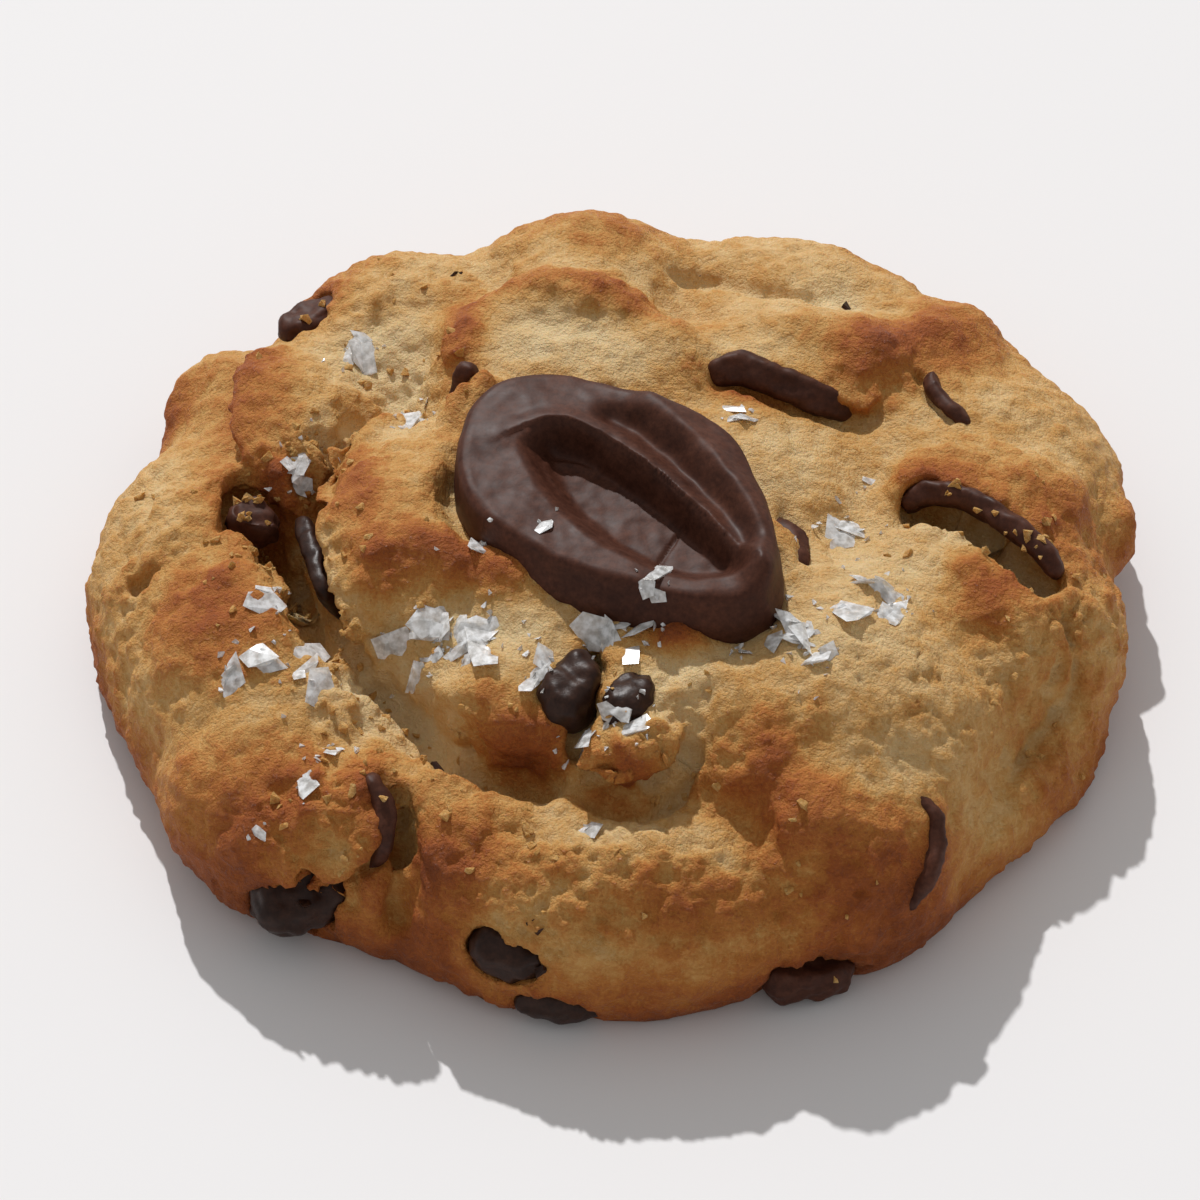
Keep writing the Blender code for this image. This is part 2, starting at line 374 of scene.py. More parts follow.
RIDGES = (
    # path, width, height
    (((-21.9, -6.4), (-19.4, -5.9), (-16.9, -5.9), (-14.4, -6.5), (-11.9, -7.4), (-9.5, -8.4),
      (-6.6, -9.4)), 2.2, 1.1),
    (((-11.7, 25.9), (-8.2, 24.6), (-4.7, 24.1), (-1.3, 23.8), (2.1, 22.8), (4.9, 19.8), (7.0, 17.2)),
     2.4, 0.3),
    (((-12.5, 24.3), (-13.2, 20.0), (-13.4, 15.9)), 1.7, 0.5),
    (((19.1, 15.9), (22.6, 17.9), (26.2, 21.1), (29.8, 23.6)), 2.6, 0.7),
    (((-30.9, -3.0), (-33.1, -7.5), (-35.2, -11.4), (-37.0, -14.6)), 3.0, 0.8),
    (((6.8, -17.6), (9.4, -20.6), (10.9, -23.8), (12.6, -26.8), (15.4, -30.0), (18.4, -32.6)), 2.8, 1.1),
    (((28.0, -4.6), (30.2, -7.6), (30.6, -11.0)), 2.2, 0.6),
)
GROOVES = (
    # path, width, depth
    (((-32.4, 9.0), (-30.8, 5.4), (-29.4, 2.0), (-27.8, -1.6), (-26.4, -5.0), (-25.0, -9.0),
      (-22.6, -12.6)), 2.0, 4.2),
    (((-26.4, 7.6), (-25.6, 3.6), (-25.0, -1.0), (-24.2, -5.6)), 1.3, 1.6),
    (((-22.4, -13.0), (-19.6, -15.4), (-16.8, -18.4), (-14.3, -21.6), (-11.0, -24.2), (-6.9, -25.6),
      (-3.2, -26.6)), 1.6, 2.6),
    (((-3.0, -26.9), (0.4, -28.6), (3.4, -28.2), (6.2, -28.6), (9.9, -30.2), (13.6, -32.4)), 2.0, 0.8),
    (((5.4, -20.4), (7.4, -24.0), (9.6, -27.4)), 3.0, 1.0),
    (((22.6, 1.6), (24.6, 1.2), (26.9, 1.7), (29.8, 0.3), (32.8, -2.3), (35.4, -5.0), (36.8, -6.8)),
     1.2, 3.4),
    (((-19.4, -23.6), (-18.2, -26.8), (-17.5, -30.0), (-17.4, -33.4), (-18.4, -36.0)), 1.5, 2.2),
    (((-15.1, 26.1), (-18.6, 24.8), (-22.6, 23.0)), 2.0, 0.9),
    (((-15.6, 21.5), (-18.5, 18.6), (-20.4, 15.4)), 2.6, 0.9),
    (((3.6, 30.2), (9.1, 29.0), (14.3, 27.0), (18.6, 26.0), (23.4, 26.2)), 1.8, 0.9),
    (((-9.1, 32.4), (-10.2, 29.0), (-8.0, 26.4)), 1.8, 0.9),
    (((37.6, -9.6), (37.0, -13.4), (34.4, -17.0), (32.4, -20.8), (31.2, -23.6)), 1.5, 1.0),
    (((-41.2, -2.8), (-39.4, -2.4), (-37.8, -1.6)), 0.8, 0.9),
    (((-1.4, -16.2), (-2.3, -19.4), (-2.8, -22.4), (-3.2, -25.4)), 0.9, 2.0),
)
SPOTS = (
    # centre, radii, turn, height
    ((5.0, -15.4), (2.2, 1.5), -20, 1.3),
    ((-28.8, 6.8), (2.6, 1.9), 20, 1.2),
    ((-31.2, 4.6), (1.6, 1.3), 0, 0.9),
    ((29.6, 24.4), (4.0, 2.6), 30, 0.7),
    ((-37.6, 21.6), (3.4, 3.0), 40, -1.0),
    ((17.0, 7.6), (4.4, 3.4), 10, -0.7),
    ((33.6, 9.4), (3.8, 3.2), 0, -0.5),
    ((-38.4, 7.6), (2.4, 3.0), 0, -0.5),
    ((-22.0, -16.4), (3.2, 1.8), 20, 0.7),
    ((-30.4, -29.0), (2.6, 2.2), 0, 0.6),
    ((34.4, -8.8), (1.6, 1.4), 0, 0.5),
    ((3.4, -33.6), (7.0, 2.6), 0, 0.5),
)
print("big forms:", len(LIPS), "lips,", len(RIDGES), "ridges,", len(GROOVES), "grooves,", len(SPOTS), "spots")

# %% [markdown]
# All the brushes add up to one shift of each point. A soft wobble keeps their edges uneven, and the
# strokes fade out on what faces down and near the tray. A finer remesh then evens out the stretched faces.

# %% Sculpt the big forms
WOBBLE_SIZE = 2.2
WOBBLE_SHARE = 0.35
LEAN_WIDTH = 1.2
MOST_LEAN = 1.2
TRAY_FADE = 3.0

points = points_of(dough.data)
outward = relaxed(normals_of(dough.data), edges, 12)
outward /= np.linalg.norm(outward, axis=1)[:, None]
wobble = noise_at(points, WOBBLE_SIZE, 1)
facing = np.clip(outward[:, 2] + 0.7, 0, 1)
shift = np.zeros(len(points))
lean_shift = np.zeros_like(points)
for path, rise, drop, rise_width, drop_width, lean in LIPS:
    distance, side, fade = path_distance(points, path)
    signed = distance * side + WOBBLE_SHARE * wobble
    high = signed >= 0
    distance = np.abs(signed)
    shift += fade * np.where(high, rise * bell(distance, rise_width), -drop * bell(distance, drop_width))
    curve = curve_through(path)
    for start, end in zip(curve, curve[1:]):
        near = bell(np.hypot(*(points[:, :2] - (start + end)[:2] / 2).T), LEAN_WIDTH) * high * fade
        across = np.array([(end - start)[1], -(end - start)[0]])
        lean_shift[:, :2] += lean * 0.35 * near[:, None] * across / max(np.hypot(*across), 1e-6)
for path, width, height in RIDGES:
    distance, _side, fade = path_distance(points, path)
    shift += fade * height * bell(distance + 0.2 * wobble, width)
for path, width, depth in GROOVES:
    distance, _side, fade = path_distance(points, path)
    shift -= fade * depth * bell(distance + WOBBLE_SHARE * wobble, width)
for centre, radii, turn, height in SPOTS:
    shift += height * spot(points, centre, radii, turn)
shift *= facing * np.clip(points[:, 2] / TRAY_FADE, 0, 1)
lean_shift = lean_shift.clip(-MOST_LEAN, MOST_LEAN)
set_points(dough.data, points + outward * shift[:, None] + lean_shift)
with_modifier(dough, "REMESH", mode="VOXEL", voxel_size=FINE_GRAIN * MM)
print("fine dough:", len(dough.data.vertices), "points")

# %% [markdown]
# ### Lumps, pores and cracks
# Baked dough is never smooth. Soft lumps of several sizes cover it, torn places are crumbly, and the
# dry skin of the front roll and of the right side has split into short cracks as the dough rose.

# %% Places of the small forms
CRUMBLY = (
    # centre, radii, turn, strength
    ((-25.5, -6.0), (3.2, 11.0), 25, 1.0),
    ((-26.0, 8.0), (5.0, 4.5), 0, 0.9),
    ((-21.5, -17.5), (6.0, 4.0), -35, 0.9),
    ((-12.5, -24.0), (7.0, 3.0), -35, 0.7),
    ((3.0, -24.0), (6.0, 5.0), 0, 0.7),
    ((-22.0, -28.0), (7.5, 4.5), 0, 0.8),
    ((31.0, -0.5), (8.0, 3.0), -28, 0.8),
    ((-4.0, -36.0), (10.0, 4.5), 0, 0.7),
    ((16.0, -37.0), (9.0, 4.0), 10, 0.6),
    ((-40.0, 0.0), (4.0, 12.0), 0, 0.5),
    ((-24.0, 27.0), (9.0, 4.0), 25, 0.5),
    ((37.5, -12.0), (4.0, 12.0), -20, 0.5),
    ((-16.5, 16.5), (5.0, 4.5), 0, 0.5),
)
CRACKED = (
    # centre, radii, turn, strength
    ((1.5, -31.5), (13.0, 3.6), 2, 1.0),
    ((24.0, -14.0), (8.5, 10.5), -30, 0.8),
    ((36.5, -8.0), (4.5, 9.0), -10, 0.9),
    ((33.5, 10.0), (6.0, 6.0), 0, 0.4),
    ((-36.0, 4.0), (5.0, 10.0), 0, 0.4),
    ((17.5, -25.0), (5.0, 6.0), 20, 0.4),
)
CREVICES = (
    # path beside a wafer, width, depth
    (((23.6, 1.6), (26.0, 2.4), (29.0, 1.2), (32.0, -1.4), (34.8, -4.2), (36.4, -6.4)), 1.1, 3.0),
    (((7.4, 14.2), (10.0, 15.0), (13.0, 14.1), (16.4, 12.8), (20.6, 11.8)), 0.7, 0.8),
    (((25.8, 17.2), (26.7, 14.3), (28.8, 10.8)), 0.5, 0.7),
    (((-14.4, 13.2), (-11.4, 12.4)), 0.7, 0.9),
    (((13.2, 0.6), (15.6, -2.6), (16.0, -6.8)), 0.7, 0.8),
    (((24.8, -26.6, 15.2), (26.6, -29.2, 13.4), (26.4, -32.2, 11.4), (24.6, -35.0, 8.4)), 0.6, 0.9),
    (((-18.9, -25.2), (-17.6, -28.1), (-17.4, -31.4)), 0.8, 1.4),
    (((-27.8, 3.4), (-26.4, -1.8), (-25.2, -7.0)), 0.8, 1.2),
    # torn lines at the bottom of the gullies and between the lumps
    (((-21.8, -13.5), (-19.3, -14.9), (-16.8, -17.4), (-14.3, -21.0), (-11.0, -23.6), (-6.9, -25.1),
      (-3.7, -26.4)), 0.8, 1.6),
    (((-3.0, -26.9), (0.4, -28.3), (3.4, -27.9), (5.6, -26.0), (6.2, -23.4)), 0.8, 1.7),
    (((-1.5, -14.6), (-2.5, -18.5), (-2.9, -22.2), (-3.3, -24.9)), 0.6, 2.0),
    (((-32.5, 9.2), (-30.8, 5.4), (-29.7, 2.6), (-28.9, -0.1), (-27.1, -2.2), (-25.7, -6.5), (-24.3, -9.7),
      (-22.6, -12.6)), 1.0, 2.4),
    (((-19.0, -24.5), (-18.0, -28.1), (-17.6, -31.6), (-18.2, -35.0)), 0.7, 1.5),
    (((36.7, -7.2), (37.9, -9.9), (38.2, -12.2), (36.7, -13.8), (34.1, -17.1), (32.3, -21.0)), 0.5, 1.0),
    (((-41.0, -2.6), (-39.3, -2.3), (-38.0, -1.6)), 0.5, 0.9),
    (((3.9, 29.9), (9.1, 28.9), (14.3, 26.7), (18.6, 25.7)), 0.8, 0.8),
    (((-20.7, 13.6), (-22.6, 10.1), (-23.7, 7.4), (-24.3, 4.2), (-24.0, -1.0)), 0.8, 1.4),
)


def region_sum(points, regions):
    total = np.zeros(len(points))
    for centre, radii, turn, strength in regions:
        total = np.maximum(total, strength * spot(points, centre, radii, turn))
    return total


def crack_lines(points, scale, seed):
    """Distance-like value that is near 0 on the walls between random cells, so walls read as cracks."""
    shift = Vector((seed * 3.7, seed * 9.1, seed * 5.3))
    found = np.empty(len(points))
    for index, point in enumerate(points):
        distances, _places = noise.voronoi(Vector(point) / scale + shift)
        found[index] = distances[1] - distances[0]
    return found


print("small forms:", len(CRUMBLY), "crumbly and", len(CRACKED), "cracked places,", len(CREVICES), "crevices")

# %% [markdown]
# Here each size of lump is one layer of noise. The crumb sizes count only where the dough is torn, and
# the cracks follow the walls between random cells that a little noise has bent.

# %% Sculpt the small forms
LUMP_SIZES = ((9.0, 0.34), (3.6, 0.24), (1.5, 0.16), (0.8, 0.11))
CRUMB_SIZES = ((2.4, 0.55), (1.1, 0.42), (0.6, 0.2))
CRACK_CELL = 4.2
CRACK_DEPTH = 0.5
CRACK_WIDTH = 0.085
CRACK_BEND = 0.9

edges = edges_of(dough.data)
points = relaxed(points_of(dough.data), edges, 3)
set_points(dough.data, points)
outward = relaxed(normals_of(dough.data), edges, 4)
outward /= np.linalg.norm(outward, axis=1)[:, None]
low_down = np.clip(points[:, 2] / 2.0, 0, 1)
crumbly = region_sum(points, CRUMBLY)
patchy = noise_at(points, 3.0, 9)
crumbly = np.clip(0.12 + crumbly * (1.0 + 0.7 * patchy), 0, 1)
shift = np.zeros(len(points))
for index, (size, height) in enumerate(LUMP_SIZES):
    shift += height * noise_at(points, size, 20 + index)
for index, (size, height) in enumerate(CRUMB_SIZES):
    shift += crumbly * height * noise_at(points, size, 40 + index)
cracked = region_sum(points, CRACKED) * np.clip(0.7 + 0.8 * noise_at(points, 5.0, 61), 0, 1)
bent = points + CRACK_BEND * np.column_stack([noise_at(points, 1.8, 70 + axis) for axis in range(3)])
split = np.zeros(len(points))
cracking = cracked > 0.08
split[cracking] = bell(crack_lines(bent[cracking] * (1, 1.5, 1), CRACK_CELL, 5), CRACK_WIDTH)
split *= cracked
shift -= CRACK_DEPTH * split
for path, width, depth in CREVICES:
    distance, _side, fade = path_distance(points, path)
    shift -= fade * depth * bell(distance, width)
points = points + outward * (shift * low_down)[:, None]
points[:, 2] = np.maximum(points[:, 2], 0.0)
set_points(dough.data, points)
print("cracked share:", round(float((split > 0.3).mean()), 3))

# %% [markdown]
# ### Browning, with painted shade in the cracks
# Heat browns what stands proud and what is near the hot tray, and leaves hollows and gullies pale. How
# much a point stands proud is its distance from the same surface, much relaxed. The result is stored on
# the points, where the material reads it.

# %% Places browned or left pale
TOASTED = (
    # centre, radii, turn, strength
    ((-14.0, -7.5), (10.0, 3.2), -12, 0.50),
    ((-21.5, 3.0), (3.6, 9.5), 0, 0.42),
    ((-2.0, 24.0), (11.0, 3.0), -14, 0.40),
    ((-13.0, 20.5), (2.4, 5.5), 0, 0.55),
    ((24.5, 19.5), (9.5, 4.5), 30, 0.50),
    ((12.0, 14.2), (6.5, 2.0), -6, 0.55),
    ((-31.0, 16.0), (4.6, 9.0), 0, 0.42),
    ((-28.6, 7.0), (3.2, 2.4), 0, 0.50),
    ((-34.0, -8.0), (4.6, 7.5), 28, 0.42),
    ((-28.5, -26.5), (7.5, 5.5), 0, 0.50),
    ((-20.8, -26.8), (4.4, 4.0), 0, 0.42),
    ((-13.5, -33.0), (6.5, 4.5), 10, 0.55),
    ((29.8, -8.0), (3.6, 4.8), -10, 0.62),
    ((4.5, -15.4), (2.6, 1.9), 0, 0.62),
    ((-7.0, -22.8), (4.0, 2.2), -20, 0.50),
    ((0.5, -27.0), (3.8, 1.8), 0, 0.42),
    ((13.0, -30.0), (5.0, 7.0), 25, 0.50),
    ((20.0, -34.0), (9.0, 4.5), 15, 0.50),
    ((-1.0, 33.0), (9.0, 4.0), 0, 0.22),
    ((-38.5, 20.5), (3.4, 3.0), 0, 0.50),
    ((-26.5, 30.5), (7.0, 3.0), 25, 0.40),
    ((8.0, -36.0), (12.0, 3.0), 0, 0.35),
    ((26.5, 5.0), (3.0, 1.6), -10, 0.45),
    ((38.0, 3.0), (4.0, 5.0), 0, 0.35),
)
PALE = (
    ((-4.0, 18.0), (9.0, 3.6), -8, 0.45),
    ((20.0, -9.0), (11.0, 9.0), -20, 0.30),
    ((14.0, 7.0), (6.0, 7.0), 0, 0.25),
    ((-24.0, -8.0), (2.6, 9.0), 18, 0.45),
    ((-18.0, -16.5), (7.0, 3.5), -35, 0.45),
    ((-11.0, -13.0), (8.0, 2.6), -10, 0.40),
    ((-20.0, 20.0), (6.5, 6.0), 0, 0.35),
    ((-25.0, 14.0), (2.6, 7.5), 0, 0.35),
    ((33.0, 13.0), (7.5, 6.5), 0, 0.05),
    ((1.5, -31.0), (11.0, 2.6), 0, 0.30),
    ((30.5, -2.0), (6.0, 2.2), -28, 0.60),
    ((5.0, -21.0), (5.0, 4.5), 0, 0.35),
    ((14.0, 25.0), (9.0, 3.5), 0, 0.22),
    ((-37.5, 5.0), (2.8, 5.0), 0, 0.20),
)
print("browning:", len(TOASTED), "toasted and", len(PALE), "pale places")

# %% [markdown]
# The browning of a point is a sum: a base, how proud it stands, how steep it is, how near the tray, and
# the places above, with clouds of noise over all. The crack lines are darkened too, as painted shade down in the
# cracks.

# %% Brown the dough, with painted shade in the cracks
PROUD_PASSES = (30, 180)
PROUD_GAINS = (1.1, 1.32)
BASE_BROWNING = 0.33
CLOUDS = ((7.0, 0.10), (2.6, 0.07), (1.0, 0.035))

points = points_of(dough.data)
edges = edges_of(dough.data)
outward = normals_of(dough.data)
soft_outward = relaxed(outward, edges, 10)
proud = np.zeros(len(points))
base = points
done = 0
for passes, gain in zip(PROUD_PASSES, PROUD_GAINS):
    base = relaxed(base, edges, passes - done)
    done = passes
    proud += gain * np.einsum("ij,ij->i", points - base, soft_outward) / math.sqrt(passes)
steep = np.clip(1.0 - soft_outward[:, 2], 0, 1.4)
near_tray = np.clip(1.0 - points[:, 2] / 9.0, 0, 1)
toasted = region_sum(points, TOASTED)
pale = region_sum(points, PALE)
browning_and_crack_shade = BASE_BROWNING + np.clip(proud, -0.22, 0.24) + 0.14 * steep + 0.26 * near_tray
# painted shade: the crack lines are darkened in colour, standing in for the shade down in the cracks
browning_and_crack_shade += 0.78 * toasted - 0.6 * pale + 0.18 * split
for index, (size, strength) in enumerate(CLOUDS):
    browning_and_crack_shade += strength * noise_at(points, size, 81 + index)
browning_and_crack_shade = np.clip(browning_and_crack_shade, 0, 0.95)


def store(mesh, name, values):
    attribute = mesh.attributes.new(name, "FLOAT", "POINT")
    attribute.data.foreach_set("value", np.ascontiguousarray(values, np.float32))


store(dough.data, "browning_and_crack_shade", browning_and_crack_shade)
store(dough.data, "crumbly", np.maximum(crumbly, split))
print("browning: mean", round(float(browning_and_crack_shade.mean()), 2))

# %% [markdown]
# The underside lies on its tray and never shows much, so it is thinned, and the points saved stay on
# top. Smooth shading then hides the grid of the remesh.

# %% Thin the underside
UNDERSIDE_SHARE = 0.62


def thin_underside(thing, share):
    normals = normals_of(thing.data)
    points = points_of(thing.data)
    under = thing.vertex_groups.new(name="underside")
    chosen = np.where((normals[:, 2] < -0.5) | (points[:, 2] < 0.4))[0]
    under.add([int(index) for index in chosen], 1.0, "REPLACE")
    with_modifier(thing, "DECIMATE", ratio=share, vertex_group="underside", use_collapse_triangulate=True)
    thing.vertex_groups.clear()


thin_underside(dough, UNDERSIDE_SHARE)
dough.data.shade_smooth()
print("dough:", len(dough.data.polygons), "faces")

# %% [markdown]
# The finish is baked dough: a dry, faintly sugary crust over a pale crumb. A ramp runs from cream
# through gold to toffee brown along the stored browning, which also holds painted shade in the cracks,
# and small noise breaks it up as sugar and flour do. Light goes a millimetre or two into it, which a
# faint subsurface gives.

# %% Baked dough
SUGAR_GRAIN = 0.32
BLOTCH = 1.6
LIGHT_REACH = 1.6
CRUST_RELIEF = 0.42


def baked_dough(name, stops, fixed_browning=None):
    """Baked dough; the browning, with painted shade in the cracks, comes from the mesh, or is the same all over for
    loose crumbs.
    """
    material, tree, shader = new_material(name)
    place = add(tree, "ShaderNodeTexCoord").outputs["Object"]
    brown = add(tree, "ShaderNodeAttribute", attribute_name="browning_and_crack_shade").outputs["Fac"]
    if fixed_browning is not None:
        brown = add(tree, "ShaderNodeValue").outputs[0]
        brown.default_value = fixed_browning
    rough_crumb = add(tree, "ShaderNodeAttribute", attribute_name="crumbly").outputs["Fac"]
    blotch = add(tree, "ShaderNodeTexNoise", {"Vector": place},
                 {"Scale": 1 / (BLOTCH * MM), "Detail": 3.0, "Roughness": 0.6})
    grain = add(tree, "ShaderNodeTexNoise", {"Vector": place},
                {"Scale": 1 / (SUGAR_GRAIN * MM), "Detail": 3.0, "Roughness": 0.65})
    uneven = add(tree, "ShaderNodeMath", {0: blotch.outputs["Fac"]}, {1: -0.5}, operation="ADD")
    uneven = add(tree, "ShaderNodeMath", {0: uneven.outputs[0], 2: brown}, {1: 0.30},
                 operation="MULTIPLY_ADD")
    speckled = add(tree, "ShaderNodeMath", {0: grain.outputs["Fac"]}, {1: -0.5}, operation="ADD")
    speckled = add(tree, "ShaderNodeMath", {0: speckled.outputs[0], 2: uneven.outputs[0]}, {1: 0.45},
                   operation="MULTIPLY_ADD")
    colour = ramp(tree, speckled.outputs[0], stops)
    tree.links.new(colour.outputs["Color"], shader.inputs["Base Color"])
    rough = add(tree, "ShaderNodeMapRange", {"Value": grain.outputs["Fac"]},
                {"From Min": 0.58, "From Max": 0.66, "To Min": 0.72, "To Max": 0.30})
    tree.links.new(rough.outputs["Result"], shader.inputs["Roughness"])
    shader.inputs["Specular IOR Level"].default_value = 0.35
    shader.inputs["Subsurface Weight"].default_value = 0.15
    shader.inputs["Subsurface Radius"].default_value = (1.0, 0.5, 0.25)
    shader.inputs["Subsurface Scale"].default_value = LIGHT_REACH * MM
    heap = add(tree, "ShaderNodeMath", {0: rough_crumb, 2: grain.outputs["Fac"]}, {1: 0.6},
               operation="MULTIPLY_ADD")
    bump = add(tree, "ShaderNodeBump", {"Height": heap.outputs[0]},
               {"Strength": 1.0, "Distance": CRUST_RELIEF * MM})
    tree.links.new(bump.outputs["Normal"], shader.inputs["Normal"])
    return material


CRUST = (
    (0.00, "e2c695"),
    (0.22, "dcb67d"),
    (0.42, "cd9954"),
    (0.60, "ba7530"),
    (0.80, "a0541b"),
    (1.00, "7e3c11"),
)
crust = baked_dough("baked_dough_crust", CRUST)
dough.data.materials.clear()
dough.data.materials.append(crust)
print("crust:", len(crust.node_tree.nodes), "nodes")

# %% [markdown]
# ## Chocolate
# Plain dark chocolate that has been through the oven: matt with a faint bloom on the large disc, glossier
# where a chip melted and set again. One function makes both: soft clouds of bloom and fine dust mix two
# browns, uneven the roughness and raise low ripples.


# %% Dark chocolate
CLOUD_SIZE = 3.0
DUST_SIZE = 0.5


def dark_chocolate(name, dark, light, roughness, melt, gloss):
    """Dark chocolate between two browns; melt is the height of its ripples in millimetres."""
    material, tree, shader = new_material(name)
    place = add(tree, "ShaderNodeTexCoord").outputs["Object"]
    clouds = add(tree, "ShaderNodeTexNoise", {"Vector": place},
                 {"Scale": 1 / (CLOUD_SIZE * MM), "Detail": 4.0, "Roughness": 0.65})
    dust = add(tree, "ShaderNodeTexNoise", {"Vector": place},
               {"Scale": 1 / (DUST_SIZE * MM), "Detail": 3.0, "Roughness": 0.7})
    mixed = add(tree, "ShaderNodeMath", {0: clouds.outputs["Fac"], 1: dust.outputs["Fac"]},
                operation="MULTIPLY")
    colour = ramp(tree, mixed.outputs[0], ((0.12, dark), (0.42, light)))
    tree.links.new(colour.outputs["Color"], shader.inputs["Base Color"])
    rough = add(tree, "ShaderNodeMapRange", {"Value": clouds.outputs["Fac"]},
                {"From Min": 0.3, "From Max": 0.7, "To Min": roughness - 0.07, "To Max": roughness + 0.07})
    tree.links.new(rough.outputs["Result"], shader.inputs["Roughness"])
    bump = add(tree, "ShaderNodeBump", {"Height": mixed.outputs[0]},
               {"Strength": 0.4, "Distance": melt * MM})
    tree.links.new(bump.outputs["Normal"], shader.inputs["Normal"])
    shader.inputs["Specular IOR Level"].default_value = gloss
    return material


matt_chocolate = dark_chocolate("dark_chocolate_matt", "391d13", "5b3526", 0.52, 0.08, 0.18)
glossy_chocolate = dark_chocolate("dark_chocolate_melted", "24130d", "432a1f", 0.42, 0.2, 0.22)
print("chocolates:", matt_chocolate.name + ",", glossy_chocolate.name)

# %% [markdown]
# ### The large disc
# It was deposited as a flat pod shape: a broad lip round an eye-shaped hollow, with a rolled ridge and
# a second, thicker lip along its back edge. The top is one height function over a polar grid, so that the
# hollow, the ridges, the small step and the crack are each two lines of code. x runs along the pod.

# %% Shape of the disc
DISC_TURN = -48.0
DISC_TOP = 23.9
DISC_FOOT = 18.0
DISC_ROUNDS = 240
DISC_RINGS = 64
DISC_MIDDLE = (-2.0, 2.6)
DISC_OUTLINE = (
    (14.0, 3.4), (12.6, 6.2), (8.6, 9.4), (4.4, 11.6), (0.4, 13.2), (-3.6, 13.2), (-7.6, 11.8),
    (-12.0, 9.8), (-16.0, 7.2), (-18.2, 3.4), (-17.6, -0.6), (-14.8, -4.4), (-11.6, -6.8), (-7.6, -7.9), (-3.0, -7.5),
    (1.2, -6.5), (5.4, -4.6), (9.6, -2.2), (12.8, 0.6),
)
HOLLOW_BACK = ((-12.6, 0.2), (-11.8, 2.8), (-9.6, 4.5), (-5.0, 5.4), (-0.6, 5.6), (4.4, 5.5),
               (9.0, 5.1), (12.6, 4.3))
HOLLOW_FRONT = ((-12.6, 0.2), (-11.6, -0.9), (-8.6, -2.3), (-4.7, -3.3), (0.8, -3.4), (6.2, -2.1),
                (9.6, -0.2), (12.6, 4.3))
HOLLOW_DEPTH = 2.7
FAR_LIP = ((-7.6, 10.6), (-2.4, 10.4), (1.6, 9.8), (5.2, 9.0), (7.8, 8.0), (10.4, 6.5), (12.6, 4.6))
VALLEY = ((-9.0, 7.6), (-5.8, 8.2), (-2.0, 8.1), (2.0, 7.6), (5.8, 7.0), (9.0, 6.0))
STEP = ((-6.8, 3.6), (-8.6, 2.8), (-9.6, 1.6), (-9.3, 0.6), (-8.0, 0.0), (-6.2, -0.3))
CRACK = ((3.0, 5.2), (3.5, 3.2), (4.0, 1.8), (4.5, 0.4))


def inside_by(flat, path):
    """Signed distance in plan to a path: positive on its left."""
    distance, side, _fade = path_distance(flat, path)
    return distance * side


def disc_height(flat):
    """Height of the disc's top over its rim, in millimetres, at places along and across it."""
    back = -inside_by(flat, HOLLOW_BACK)
    front = inside_by(flat, HOLLOW_FRONT)
    within = smoothstep(back / 1.5) * smoothstep(front / 3.6)
    height = -HOLLOW_DEPTH * within
    ridge, _side, _fade = path_distance(flat, HOLLOW_BACK)
    height = height + 0.55 * bell(ridge, 1.5) * np.where(back < 0, 1.0, 0.5)
    lip, _side, _fade = path_distance(flat, FAR_LIP)
    height += 1.15 * bell(lip, 1.5)
    trough, _side, _fade = path_distance(flat, VALLEY)
    height -= 0.95 * bell(trough, 1.1)
    step, _side, _fade = path_distance(flat, STEP)
    height += 0.22 * bell(step, 0.28)
    crack, _side, _fade = path_distance(flat, CRACK)
    height -= 0.35 * bell(crack, 0.13)
    return height


hollow_floor = disc_height(np.array([[0.0, 1.5, 0.0]]))[0]
print("floor of the hollow:", round(float(hollow_floor), 1), "mm from the rim")

# %% [markdown]
# The rings run from the middle out over the rounded rim and down the wall, which bulges most at the
# front, where the disc is thickest. The same function closes rings of points for the wafers below.


# %% Make the disc
RIM_RINGS = (
    # share of the radius, millimetres outwards, millimetres below the rim
    (0.96, 0.0, 0.06), (0.98, 0.0, 0.18), (0.993, 0.05, 0.42), (1.0, 0.12, 0.8), (1.0, 0.30, 1.4),
    (1.0, 0.65, 2.2), (1.0, 0.9, 3.0), (1.0, 1.0, 3.9), (1.0, 0.85, 4.8), (1.0, 0.4, 5.5),
    (0.95, 0.0, DISC_TOP - DISC_FOOT),
)


def closed_rings(name, places, sides):
    """A closed mesh from rings of points, with a cap on the first and on the last."""
    bm = bmesh.new()
    verts = [bm.verts.new(place * MM) for place in places]
    for start in range(0, len(places) - sides, sides):
        for step in range(sides):
            a = start + step
            b = start + (step + 1) % sides
            bm.faces.new((verts[a], verts[a + sides], verts[b + sides], verts[b]))
    bm.faces.new(verts[:sides])
    bm.faces.new(verts[-sides:])
    bmesh.ops.recalc_face_normals(bm, faces=bm.faces[:])
    return new_object(name, mesh_from(bm, name))


